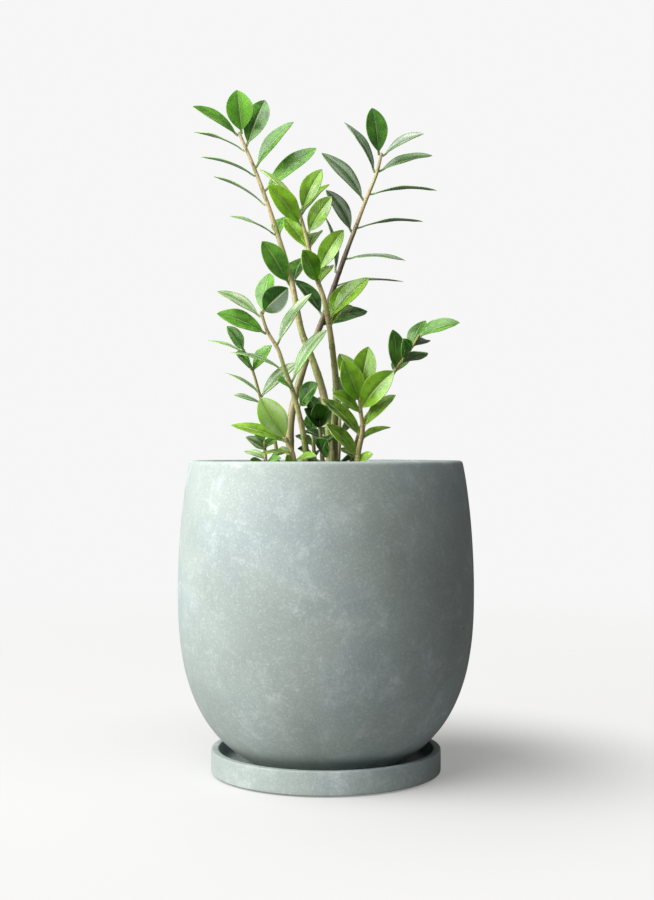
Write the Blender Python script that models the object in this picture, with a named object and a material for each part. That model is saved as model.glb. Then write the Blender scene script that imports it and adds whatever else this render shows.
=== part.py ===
"""A potted ZZ plant: a round-bellied cement pot on a saucer, soil, and glossy pinnate shoots.

Metres, +Z up. The origin is on the pot's axis, on the surface that the object stands on, and -Y
is the front. Every piece only rests on or in another, so nothing here moves.
"""

import math

import bmesh
import bpy
import numpy as np
from mathutils import Vector

MM = 0.001
GAP = 0.0003                 # air between two pieces that touch

# Pads under the saucer
PAD_HEIGHT = 0.0010
PAD_RADIUS = 0.007
PAD_COUNT = 3
PAD_INSET = 0.006            # from the edge of the saucer's flat underside to a pad

# Saucer
SAUCER_HEIGHT = 0.0227
SAUCER_WALL = 0.0077
SAUCER_FLOOR = 0.008
SAUCER_MARGIN = 0.0126       # free width around the pot, level with the saucer's rim
SAUCER_ROUNDING = 0.0015     # lower outer edge, and the fillet inside
SAUCER_EASING = 0.0012       # both edges of its rim

# Pot
POT_HEIGHT = 0.300
POT_RADIUS = 0.1477          # at the belly
POT_BELLY_HEIGHT = 0.165     # above the foot
POT_RIM_RADIUS = 0.1365
POT_FOOT_RADIUS = 0.070
POT_FULLNESS = 2.5           # power of the curve from foot to belly, 2 for an ellipse
POT_SHOULDER = 2.3           # power of the curve from belly to rim
POT_WALL = 0.010
POT_FLOOR = 0.014
POT_RIM_ROUNDING = 0.003
POT_FOOT_WIDTH = 0.012       # flat ring that the pot stands on
POT_RECESS = 0.003           # hollow inside that ring
DRAIN_RADIUS = 0.010
TURNED_SIDES = 48

# Soil
SOIL_DROP = 0.022            # from the pot's rim down to the soil's edge
SOIL_CROWN = 0.004           # how far its middle stands above its edge

# Plant: its own shape below is in millimetres at this scale
PLANT_SCALE = 1.0
STEM_SIDES = 8
STEM_BURIED = 35             # length of stem below the soil
STEM_RING_STEP = 26          # height between the rings that a stem is built on
SOCKET_TOP = 8               # where the cutter of a stem's socket ends, above the soil's crown
STEM_FLARE = 0.25            # extra thickness of a stem where it leaves the soil
LEAF_THICKNESS = 1.1
LEAF_FOLD = 0.22             # rise of a half blade from midrib to rim, per width
LEAF_ARCH = 0.05             # rise of the midrib's middle over its ends, per length
STALK_SHARE = 0.05           # part of a leaf's length that is its short stalk
STALK_RADIUS = 0.9
BLADE_STATIONS = (0.18, 0.42, 0.68, 0.88)

PAD_TOP = PAD_HEIGHT
SAUCER_BASE = PAD_TOP + GAP
SAUCER_RIM = SAUCER_BASE + SAUCER_HEIGHT
POT_BASE = SAUCER_BASE + SAUCER_FLOOR + GAP
POT_RIM = POT_BASE + POT_HEIGHT
SOIL_EDGE = POT_RIM - SOIL_DROP
SOIL_TOP = SOIL_EDGE + SOIL_CROWN

# The shoots. Heights are above the soil. A stem is a list of (right, back, height) points.
# A leaf is (height of its joint on the stem, then its tip from that joint: right, back, up,
# its width, its tilt). Tilt 0 turns the upper face to the front, 90 turns it up and over the
# stem, 180 turns it to the back. "separate" leaves are pieces, "joined" ones are one with the stem.
SHOOTS = {
    "left": {
        "stem": [(5, 4, 0), (4, 7, 35), (1, 8, 68), (-12, 12, 115), (-24, 14, 146),
                 (-34, 17, 195), (-51, 20, 253), (-71, 22, 310), (-88, 22, 350)],
        "radii": (4.6, 1.5),
        "separate": [
            (350, -46, -12, 25, 22, 55), (350, -2, -8, 42, 27, 8), (338, 20, 14, 50, 24, 6),
            (335, -53, 8, 19, 20, 84), (316, 40, -6, 45, 21, 45), (309, -56, -10, 16, 21, 86),
            (292, 54, 12, 46, 22, 35), (280, -54, 6, 28, 22, 86), (249, -47, -16, 15, 20, 78),
            (247, 6, 40, 26, 20, 40), (198, -29, -12, 40, 23, 12), (199, 12, 38, 30, 22, 35),
        ],
        "joined": [],
        "tone": "green",
    },
    "right": {
        "stem": [(-36, 34, 0), (-36, 40, 60), (-23, 50, 114), (-4, 58, 163), (14, 62, 215),
                 (29, 65, 256), (41, 66, 288), (53, 66, 318), (58, 66, 338)],
        "radii": (4.4, 1.5),
        "separate": [
            (338, -10, -6, 47, 23, 14), (338, 43, -14, 19, 20, 58), (322, 58, 12, 18, 21, 58),
            (320, -34, 6, 53, 23, 64), (290, -45, 10, 53, 25, 48), (257, -29, -8, 42, 24, 46),
            (298, 70, -8, 2, 22, 87), (263, 70, 8, 7, 22, 87), (230, 63, -10, -3, 22, 74),
            (215, -13, 14, 60, 23, 74), (170, -31, 20, 38, 22, 48),
        ],
        "joined": [(200, 72, 6, 6, 21, 80), (158, 50, 34, 20, 22, 40)],
        "tone": "dark",
    },
    "middle": {
        "stem": [(8, -24, 0), (8, -28, 49), (10, -34, 87), (8, -38, 112), (3, -44, 149),
                 (-3, -48, 178), (-11, -51, 199), (-19, -54, 234), (-26, -56, 259)],
        "radii": (4.2, 1.5),
        "separate": [
            (259, 22, -6, 38, 20, 25), (259, -38, 8, 42, 20, 68), (256, 28, 26, 33, 20, 55),
            (246, -32, -14, 35, 22, 22), (237, 25, -18, 32, 20, 22), (224, -23, 16, 30, 20, 30),
            (200, 28, -10, 39, 20, 22), (191, -14, -24, 27, 21, 30), (157, 39, -8, 38, 20, 40),
            (158, 25, 28, 37, 20, 40), (150, 20, 36, 23, 21, 35),
        ],
        "joined": [(222, 8, 36, 22, 20, 40), (189, 11, 34, 23, 20, 40)],
        "tone": "bright",
    },
    "lower": {
        "stem": [(-15, -42, 0), (-26, -50, 63), (-32, -52, 85), (-40, -57, 107), (-46, -60, 125),
                 (-56, -62, 142), (-62, -64, 160)],
        "radii": (3.4, 1.4),
        "separate": [
            (160, 7, 22, 40, 20, 35), (160, 26, -26, 20, 24, 5), (158, -43, 8, 23, 20, 58),
            (142, -47, -10, 17, 21, 38), (130, 34, -6, 48, 21, 60), (95, 36, -8, 49, 22, 58),
            (108, -51, 8, 16, 21, 77), (71, 20, -30, 20, 21, 40),
        ],
        "joined": [(86, -13, -34, 8, 14, 70)],
        "tone": "green",
    },
    "front": {
        "stem": [(30, -57, 0), (31, -60, 26), (35, -64, 50), (33, -67, 66), (32, -70, 83)],
        "radii": (3.2, 1.5),
        "separate": [],
        "joined": [
            (82, -19, 10, 39, 20, 25), (83, 8, -9, 43, 23, 8), (68, 30, -26, 34, 24, 20),
            (64, -26, -20, 18, 20, 55), (41, -37, 10, 37, 19, 50), (23, -30, -6, 30, 18, 45),
            (50, 30, -12, 31, 18, 55), (39, 29, 20, 12, 16, 70), (70, -6, 34, 46, 20, 50),
            (20, -16, 14, 11, 14, 50), (15, 14, -10, 10, 13, 60), (74, -16, -15, 39, 22, 10),
        ],
        "tone": "bright",
    },
    "curved": {
        "stem": [(22, -20, 0), (30, -24, 36), (39, -27, 60), (46, -29, 69), (56, -32, 84),
                 (68, -36, 107), (80, -40, 123), (90, -44, 139)],
        "radii": (2.4, 1.2),
        "separate": [],
        "joined": [
            (107, -3, -8, 38, 19, 32), (139, 38, -10, 13, 18, 50), (137, 33, 14, 20, 18, 60),
            (125, 16, 22, 32, 18, 45), (119, -3, -30, 15, 16, 40), (104, 14, 30, 17, 17, 40),
            (130, 16, 34, 9, 17, 40), (114, 25, -16, 8, 16, 120),
        ],
        "tone": "green",
    },
    "pale": {
        "stem": [(-47, -8, 0), (-51, -10, 38), (-65, -14, 81), (-73, -18, 108), (-81, -20, 127)],
        "radii": (2.2, 1.1),
        "separate": [],
        "joined": [
            (127, -16, -14, 22, 16, 40), (124, -37, 8, 14, 16, 80), (108, -14, -24, 15, 16, 60),
            (107, 19, -12, 24, 17, 45), (86, -34, 10, 20, 17, 80), (74, -27, -18, 8, 16, 75),
            (81, 37, -16, 33, 18, 50),
        ],
        "tone": "green",
    },
    "sprout": {
        "stem": [(-60, -30, 0), (-59, -33, 19), (-60, -36, 35)],
        "radii": (2.0, 1.4),
        "separate": [],
        "joined": [(29, -18, -10, 12, 12, 45), (20, -21, 10, 8, 12, 60), (35, -10, 4, 14, 11, 40),
                   (31, 11, 12, 9, 11, 45), (12, -14, -12, 7, 11, 60), (14, 15, -9, 7, 13, 60)],
        "tone": "green",
    },
    "centre": {
        "stem": [(-2, -42, 0), (-5, -44, 40), (-7, -45, 60)],
        "radii": (2.4, 1.5),
        "separate": [],
        "joined": [(60, -11, 6, 22, 16, 30), (50, -14, -18, 18, 15, 50), (50, 12, -8, 22, 15, 40),
                   (24, 4, -30, 14, 20, 40), (57, -2, -18, 16, 17, 20), (34, 13, -15, 8, 12, 70),
                   (16, -19, -21, 6, 15, 75), (40, -15, 8, 8, 15, 60), (30, 12, 10, 14, 14, 60),
                   (10, 16, -16, 6, 14, 70)],
        "tone": "dark",
    },
    "back": {
        "stem": [(10, 26, 0), (13, 34, 30), (14, 44, 56), (14, 52, 76)],
        "radii": (2.8, 1.5),
        "separate": [],
        "joined": [(76, 3, 16, 30, 18, 150), (66, -24, 20, 16, 17, 120), (70, 18, 26, 14, 17, 130),
                   (50, -26, 8, 18, 17, 110), (46, 16, 26, 14, 17, 120), (30, -18, 30, 10, 16, 120),
                   (22, -20, -8, 10, 15, 100), (14, 18, 10, 8, 15, 110), (38, -22, -4, 12, 16, 60)],
        "tone": "green",
    },
    "tuft": {
        "stem": [(-10, -16, 0), (-12, -18, 30), (-13, -18, 46)],
        "radii": (2.4, 1.5),
        "separate": [],
        "joined": [(46, 0, -6, 20, 15, 30), (45, -12, 8, 14, 14, 60), (34, 9, -8, 12, 14, 50),
                   (33, -18, 4, 10, 15, 60), (22, -16, -8, 8, 15, 70), (21, 6, 12, 9, 12, 70),
                   (12, -14, 12, 7, 14, 70), (10, 0, -14, 6, 12, 70)],
        "tone": "dark",
    },
    "bright": {
        "stem": [(-29, -59, 0), (-33, -64, 29), (-38, -68, 39)],
        "radii": (2.8, 1.7),
        "separate": [],
        "joined": [(39, -24, -6, 39, 26, 8), (36, -54, 4, 17, 18, 55), (26, -30, -14, -1, 16, 80),
                   (18, 21, -12, 5, 15, 70), (27, -20, 12, -3, 13, 60), (14, -8, -24, 4, 14, 60)],
        "tone": "bright",
    },
}

COLOURS = {
    "cement": ((0.30, 0.33, 0.31), 0.85),
    "soil": ((0.035, 0.024, 0.017), 0.95),
    "pad_rubber": ((0.02, 0.02, 0.02), 0.8),
    "stem": ((0.16, 0.22, 0.06), 0.5),
    "leaf_dark": ((0.02, 0.07, 0.015), 0.25),
    "leaf_green": ((0.05, 0.16, 0.03), 0.28),
    "leaf_bright": ((0.13, 0.30, 0.04), 0.28),
}


# ---------------------------------------------------------------- helpers

def clear_scene():
    for obj in list(bpy.data.objects):
        bpy.data.objects.remove(obj)


def make_materials():
    materials = {}
    for name, (colour, roughness) in COLOURS.items():
        material = bpy.data.materials.new(name)
        material.use_nodes = True
        shader = material.node_tree.nodes["Principled BSDF"]
        shader.inputs["Base Color"].default_value = (*colour, 1.0)
        shader.inputs["Roughness"].default_value = roughness
        materials[name] = material
    return materials


def add_object(name, bm, material):
    """Close a bmesh into a new object with one material and outward faces."""
    bmesh.ops.remove_doubles(bm, verts=bm.verts, dist=0.01 * MM)
    bmesh.ops.recalc_face_normals(bm, faces=bm.faces)
    mesh = bpy.data.meshes.new(name)
    bm.to_mesh(mesh)
    bm.free()
    mesh.materials.append(material)
    obj = bpy.data.objects.new(name, mesh)
    bpy.context.scene.collection.objects.link(obj)
    return obj


def turn(profile):
    """Spin a closed outline of (radius, height) points about Z into a solid."""
    bm = bmesh.new()
    verts = [bm.verts.new((radius, 0.0, height)) for radius, height in profile]
    edges = [bm.edges.new((a, b)) for a, b in zip(verts, verts[1:])]
    if profile[0][0] > 0:
        edges.append(bm.edges.new((verts[-1], verts[0])))
    bmesh.ops.spin(bm, geom=verts + edges, cent=(0, 0, 0), axis=(0, 0, 1), dvec=(0, 0, 0),
                   angle=2 * math.pi, steps=TURNED_SIDES, use_merge=True, use_duplicate=False)
    return bm


def arc(centre, radius, start, end, steps):
    """Points of a circular arc in an outline, angles in degrees from outwards towards up."""
    points = []
    for i in range(steps + 1):
        angle = math.radians(start + (end - start) * i / steps)
        points.append((centre[0] + radius * math.cos(angle), centre[1] + radius * math.sin(angle)))
    return points


def combine(obj, pieces, operation):
    """Union pieces with an object, or cut them out of it."""
    bpy.context.view_layer.objects.active = obj
    for piece in pieces:
        boolean = obj.modifiers.new(operation.lower(), "BOOLEAN")
        boolean.operation = operation
        boolean.solver = "EXACT"
        boolean.object = piece
        bpy.ops.object.modifier_apply(modifier=boolean.name)
        bpy.data.objects.remove(piece)


def shade_round(obj, angle):
    obj.data.shade_smooth()
    obj.data.set_sharp_from_angle(angle=math.radians(angle))


# ---------------------------------------------------------------- pot, saucer, pads and soil

def pot_radius(height):
    """Outer radius of the pot at a height above its foot."""
    if height < POT_BELLY_HEIGHT:
        reach = (1 - (POT_FOOT_RADIUS / POT_RADIUS) ** POT_FULLNESS) ** (1 / POT_FULLNESS)
        below = reach * (POT_BELLY_HEIGHT - height) / POT_BELLY_HEIGHT
        return POT_RADIUS * (1 - below ** POT_FULLNESS) ** (1 / POT_FULLNESS)
    above = (height - POT_BELLY_HEIGHT) / (POT_HEIGHT - POT_BELLY_HEIGHT)
    return POT_RADIUS - (POT_RADIUS - POT_RIM_RADIUS) * above ** POT_SHOULDER


def cavity_radius(height, inset):
    """Radius of the pot's outline moved inwards by an inset, square to the wall."""
    outline = np.array([(pot_radius(h), h) for h in np.linspace(0, POT_HEIGHT, 400)])
    slope = np.gradient(outline, axis=0)
    slope /= np.linalg.norm(slope, axis=1)[:, None]
    moved = outline + inset * np.column_stack((-slope[:, 1], slope[:, 0]))
    return float(np.interp(height, moved[:, 1], moved[:, 0]))


def wall_heights(low, high):
    """Heights from low to high, closer together near the foot where the wall curves most."""
    return [low + (high - low) * (i / 14) ** 1.35 for i in range(15)]


def cavity_heights():
    """Heights of the corners of the pot's inner wall, above its foot."""
    return wall_heights(POT_FLOOR, POT_HEIGHT - 3 * POT_RIM_ROUNDING)


def soil_radius(height):
    """Radius of the soil, clear of the straight runs between the corners of the inner wall."""
    corners = cavity_heights()
    run = np.interp(height, corners, [cavity_radius(h, POT_WALL) for h in corners])
    return min(cavity_radius(height, POT_WALL + GAP), float(run) - GAP)


def make_pads(material):
    ring = saucer_radius() - SAUCER_ROUNDING - PAD_INSET - PAD_RADIUS
    for i in range(PAD_COUNT):
        angle = math.radians(90 + 360 / PAD_COUNT * i)
        bpy.ops.mesh.primitive_cylinder_add(
            vertices=20, radius=PAD_RADIUS, depth=PAD_HEIGHT,
            location=(ring * math.cos(angle), ring * math.sin(angle), PAD_HEIGHT / 2))
        pad = bpy.context.object
        pad.name = f"foot_pad_{i + 1}"
        pad.data.materials.append(material)
        shade_round(pad, 40)


def saucer_radius():
    """Outer radius of the saucer, which leaves its margin around the pot."""
    return pot_radius(SAUCER_RIM - POT_BASE) + SAUCER_MARGIN + SAUCER_WALL


def make_saucer(material):
    outer = saucer_radius()
    inner = outer - SAUCER_WALL
    floor = SAUCER_BASE + SAUCER_FLOOR
    ease, rounding = SAUCER_EASING, SAUCER_ROUNDING
    profile = [(0, floor)]
    profile += arc((inner - rounding, floor + rounding), rounding, -90, 0, 3)
    profile += arc((inner + ease, SAUCER_RIM - ease), ease, 180, 90, 2)
    profile += arc((outer - ease, SAUCER_RIM - ease), ease, 90, 0, 2)
    profile += arc((outer - rounding, SAUCER_BASE + rounding), rounding, 0, -90, 3)
    profile += [(0, SAUCER_BASE)]
    saucer = add_object("saucer", turn(profile), material)
    shade_round(saucer, 40)


def make_pot(material):
    edge = POT_RIM_ROUNDING
    inner_rim = POT_RIM_RADIUS - POT_WALL
    outside = [(pot_radius(h), POT_BASE + h) for h in wall_heights(0, POT_HEIGHT - edge)]
    inside = [(cavity_radius(h, POT_WALL), POT_BASE + h)
              for h in reversed(cavity_heights())]
    foot = POT_FOOT_RADIUS - POT_FOOT_WIDTH
    profile = [(DRAIN_RADIUS, POT_BASE + POT_RECESS), (foot - POT_RECESS, POT_BASE + POT_RECESS),
               (foot, POT_BASE)]
    profile += outside
    profile += arc((POT_RIM_RADIUS - edge, POT_RIM - edge), edge, 30, 90, 2)
    profile += arc((inner_rim + edge, POT_RIM - edge), edge, 90, 180, 3)
    profile += inside
    profile += [(DRAIN_RADIUS, POT_BASE + POT_FLOOR)]
    pot = add_object("pot", turn(profile), material)
    shade_round(pot, 40)


def make_soil(material, stem_cutters):
    low, high = POT_FLOOR + GAP, SOIL_EDGE - POT_BASE
    heights = [low] + [h for h in cavity_heights() if low < h < high] + [high]
    profile = [(0, SOIL_TOP)]
    for share in (0.35, 0.7):
        profile.append((share * POT_RIM_RADIUS, SOIL_TOP - SOIL_CROWN * share ** 2))
    profile += [(soil_radius(h), POT_BASE + h) for h in reversed(heights)]
    profile += [(0, POT_BASE + low)]
    soil = add_object("soil", turn(profile), material)
    combine(soil, stem_cutters, "DIFFERENCE")
    shade_round(soil, 40)


# ---------------------------------------------------------------- stems and leaves

def stem_centre(shoot, height):
    """Point of a stem's centre line at a height above the soil, in millimetres."""
    points = np.array(shoot["stem"], dtype=float)
    heights = points[:, 2]
    slopes = np.gradient(points[:, :2], heights, axis=0)
    if height <= heights[0]:
        right, back = points[0, :2] + slopes[0] * (height - heights[0]) * 0.3
        return Vector((right, back, height))
    i = min(int(np.searchsorted(heights, height)) - 1, len(heights) - 2)
    span = heights[i + 1] - heights[i]
    s = (height - heights[i]) / span
    place = ((2 * s**3 - 3 * s**2 + 1) * points[i, :2] + (s**3 - 2 * s**2 + s) * span * slopes[i]
             + (3 * s**2 - 2 * s**3) * points[i + 1, :2] + (s**3 - s**2) * span * slopes[i + 1])
    return Vector((place[0], place[1], height))


def stem_direction(shoot, height):
    return (stem_centre(shoot, height + 1) - stem_centre(shoot, height - 1)).normalized()


def stem_radius(shoot, height):
    base, tip = shoot["radii"]
    share = min(max(height / shoot["stem"][-1][2], 0), 1)
    flare = 1 + STEM_FLARE * math.exp(-max(height, 0) / 12)
    return (base + (tip - base) * share) * flare


def to_frame(point):
    """From millimetres above the soil to the part's own frame."""
    return point * MM * PLANT_SCALE + Vector((0, 0, SOIL_TOP))


def ring_heights(low, high):
    """Heights of a stem's rings. The lowest three are the same on a stem and on its socket."""
    free = high - SOCKET_TOP
    count = math.ceil(free / STEM_RING_STEP)
    return [low, 0] + [SOCKET_TOP + free * i / count for i in range(count + 1)]


def stem_mesh(shoot, heights, spare):
    """A tapered tube along a stem, closed at both ends; spare is added to its radius."""
    bm = bmesh.new()
    rings = []
    for height in heights:
        along = stem_direction(shoot, height)
        across = along.cross(Vector((0, 1, 0))).normalized()
        other = along.cross(across)
        radius = stem_radius(shoot, height) * PLANT_SCALE * MM + spare
        centre = to_frame(stem_centre(shoot, height))
        ring = []
        for k in range(STEM_SIDES):
            angle = 2 * math.pi * k / STEM_SIDES
            ring.append(bm.verts.new(centre + radius * (across * math.cos(angle)
                                                        + other * math.sin(angle))))
        rings.append(ring)
    for lower, upper in zip(rings, rings[1:]):
        for k in range(STEM_SIDES):
            n = (k + 1) % STEM_SIDES
            bm.faces.new((lower[k], lower[n], upper[n], upper[k]))
    bm.faces.new(rings[0])
    high = heights[-1]
    bud = to_frame(stem_centre(shoot, high) + 1.6 * stem_direction(shoot, high)
                   * stem_radius(shoot, high))
    top = bm.verts.new(bud)
    for k in range(STEM_SIDES):
        bm.faces.new((rings[-1][k], rings[-1][(k + 1) % STEM_SIDES], top))
    return bm


def leaf_frame(root, tip, tilt):
    """Directions along a leaf, across it, and out of its upper face."""
    along = (tip - root).normalized()
    front = Vector((0, -1, 0))
    front = (front - along * front.dot(along)).normalized()
    over_stem = along.cross(front) if along.x < 0 else front.cross(along)
    tilt = math.radians(tilt)
    face = front * math.cos(tilt) + over_stem * math.sin(tilt)
    return along, along.cross(face), face


def blade_share(s):
    """Half width of a blade at a share of its length, as a share of its widest."""
    widest = 0.85 / 1.63
    return (s / widest) ** 0.85 * ((1 - s) / (1 - widest)) ** 0.78


def leaf_mesh(shoot, leaf, joined):
    """A folded, arched blade on a short stalk. A joined leaf starts inside its stem."""
    height, right, back, up, width, tilt = leaf
    joint = stem_centre(shoot, height)
    tip = joint + Vector((right, back, up))
    stem_way = stem_direction(shoot, height)
    outwards = tip - joint
    outwards = (outwards - stem_way * outwards.dot(stem_way)).normalized()
    root = joint.copy()
    if not joined:
        clear = GAP / (MM * PLANT_SCALE)
        root += outwards * (stem_radius(shoot, height) + STALK_RADIUS + clear)
    along, across, face = leaf_frame(root, tip, tilt)
    length = (tip - root).length

    sections = [(0.0, STALK_RADIUS, STALK_RADIUS), (STALK_SHARE, STALK_RADIUS, STALK_RADIUS)]
    for s in BLADE_STATIONS:
        half = 0.5 * width * blade_share(s)
        sections.append((STALK_SHARE + (1 - STALK_SHARE) * s, half, LEAF_THICKNESS / 2))

    bm = bmesh.new()
    rings = []
    for t, half, thick in sections:
        centre = root + along * length * t + face * length * LEAF_ARCH * math.sin(math.pi * t)
        rim = face * half * LEAF_FOLD
        places = (centre - across * half + rim, centre + face * thick,
                  centre + across * half + rim, centre - face * thick)
        rings.append([bm.verts.new(to_frame(place)) for place in places])
    point = bm.verts.new(to_frame(tip))
    for lower, upper in zip(rings, rings[1:]):
        for k in range(4):
            n = (k + 1) % 4
            bm.faces.new((lower[k], lower[n], upper[n], upper[k]))
    bm.faces.new(rings[0])
    for k in range(4):
        bm.faces.new((rings[-1][k], rings[-1][(k + 1) % 4], point))
    return bm


def make_shoot(name, shoot, materials):
    """One stem with its leaves. Returns the cutter for its socket in the soil."""
    leaf_material = materials["leaf_" + shoot["tone"]]
    high = shoot["stem"][-1][2]
    own_leaves = bool(shoot["separate"])
    stem_name = f"{name}_stem" if own_leaves else f"{name}_shoot"
    stem_material = materials["stem"] if own_leaves else leaf_material
    stem = add_object(stem_name, stem_mesh(shoot, ring_heights(-STEM_BURIED, high), 0),
                      stem_material)

    joined = [add_object("joined_leaf", leaf_mesh(shoot, leaf, True), leaf_material)
              for leaf in shoot["joined"]]
    combine(stem, joined, "UNION")
    shade_round(stem, 50)

    for i, leaf in enumerate(shoot["separate"]):
        blade = add_object(f"{name}_leaf_{i + 1:02d}", leaf_mesh(shoot, leaf, False), leaf_material)
        shade_round(blade, 50)

    socket = [-STEM_BURIED - GAP / MM, 0, SOCKET_TOP]
    return add_object("socket", stem_mesh(shoot, socket, GAP), materials["soil"])


def main():
    clear_scene()
    materials = make_materials()
    make_pads(materials["pad_rubber"])
    make_saucer(materials["cement"])
    make_pot(materials["cement"])
    sockets = [make_shoot(name, shoot, materials) for name, shoot in SHOOTS.items()]
    make_soil(materials["soil"], sockets)


main()
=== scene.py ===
"""The finished potted ZZ plant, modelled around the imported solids."""
import math

import bpy
import numpy as np
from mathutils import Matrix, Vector, noise


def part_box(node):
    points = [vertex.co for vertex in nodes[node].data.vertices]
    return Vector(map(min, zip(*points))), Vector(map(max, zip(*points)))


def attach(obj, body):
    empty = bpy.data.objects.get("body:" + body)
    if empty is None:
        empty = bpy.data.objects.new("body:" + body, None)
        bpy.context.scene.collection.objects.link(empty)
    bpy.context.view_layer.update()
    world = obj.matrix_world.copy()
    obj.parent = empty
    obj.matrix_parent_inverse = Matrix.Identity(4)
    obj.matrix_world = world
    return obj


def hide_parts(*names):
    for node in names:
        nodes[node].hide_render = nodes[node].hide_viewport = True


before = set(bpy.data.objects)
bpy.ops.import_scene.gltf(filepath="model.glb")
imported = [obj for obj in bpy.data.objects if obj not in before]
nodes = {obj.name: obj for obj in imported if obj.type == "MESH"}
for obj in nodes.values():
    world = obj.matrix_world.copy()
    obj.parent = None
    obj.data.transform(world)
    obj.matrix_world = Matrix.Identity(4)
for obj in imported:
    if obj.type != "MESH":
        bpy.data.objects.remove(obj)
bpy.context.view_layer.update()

rng = np.random.default_rng(17)
MM = 0.001
SOIL_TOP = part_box("soil")[1][2]

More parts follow.
